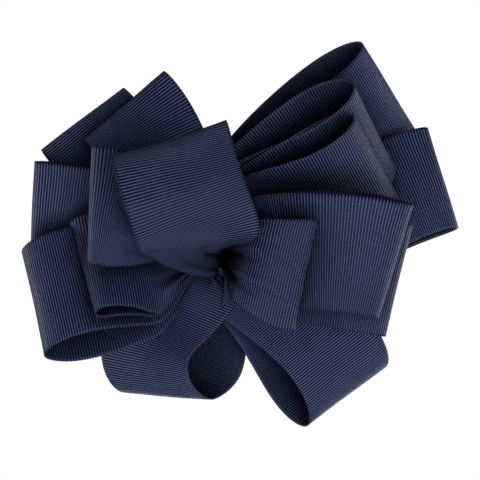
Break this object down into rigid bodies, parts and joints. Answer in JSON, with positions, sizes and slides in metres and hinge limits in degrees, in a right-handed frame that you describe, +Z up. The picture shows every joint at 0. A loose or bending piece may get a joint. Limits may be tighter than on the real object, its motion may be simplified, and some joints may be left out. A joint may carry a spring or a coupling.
{
  "type": "hair bow",
  "caption": "Cheerleading hair bow: looped navy grosgrain ribbons bound with thread on a felt pad, with a steel alligator clip whose sprung jaw opens",
  "frame": {"origin": "middle of the flat rear face of the clip's jaw, which lies against the head, at mount clip_back_face", "axes": "+X is to the right as the bow is seen from the front, along the clip towards its nose; +Y is to the rear, towards the head; +Z is up as worn"},
  "size_m": [0.1476, 0.0927, 0.128],
  "materials": {
    "ribbon": "navy grosgrain ribbon, cross ribs with a low sheen",
    "thread": "waxed navy thread",
    "felt": "matte navy felt",
    "lining": "narrow navy grosgrain",
    "clip_steel": "nickel-plated sheet steel",
    "spring_steel": "drawn spring wire",
    "grip": "matte rubber"
  },
  "bodies": {
    "bow": {"ribbon_1_rear": "ribbon", "ribbon_2": "ribbon", "ribbon_3": "ribbon", "ribbon_4": "ribbon", "ribbon_5": "ribbon", "ribbon_6": "ribbon", "ribbon_7": "ribbon", "ribbon_8_front": "ribbon", "binding_thread": "thread", "felt_backing": "felt", "clip_lining": "lining", "clip_top_arm": "clip_steel", "clip_pivot_pin": "clip_steel", "clip_spring": "spring_steel", "clip_grip_strip": "grip"},
    "jaw": {"clip_jaw": "clip_steel"}
  },
  "joints": [
    {"name": "jaw_hinge", "type": "hinge", "parent": "bow", "child": "jaw", "pos_m": [-0.012, -0.0035, 0], "axis": [0, 0, 1], "range_deg": [0, 30], "stiffness_Nm_per_rad": 0.2, "springref_deg": -34.38, "deforming": ["clip_spring"]}
  ]
}
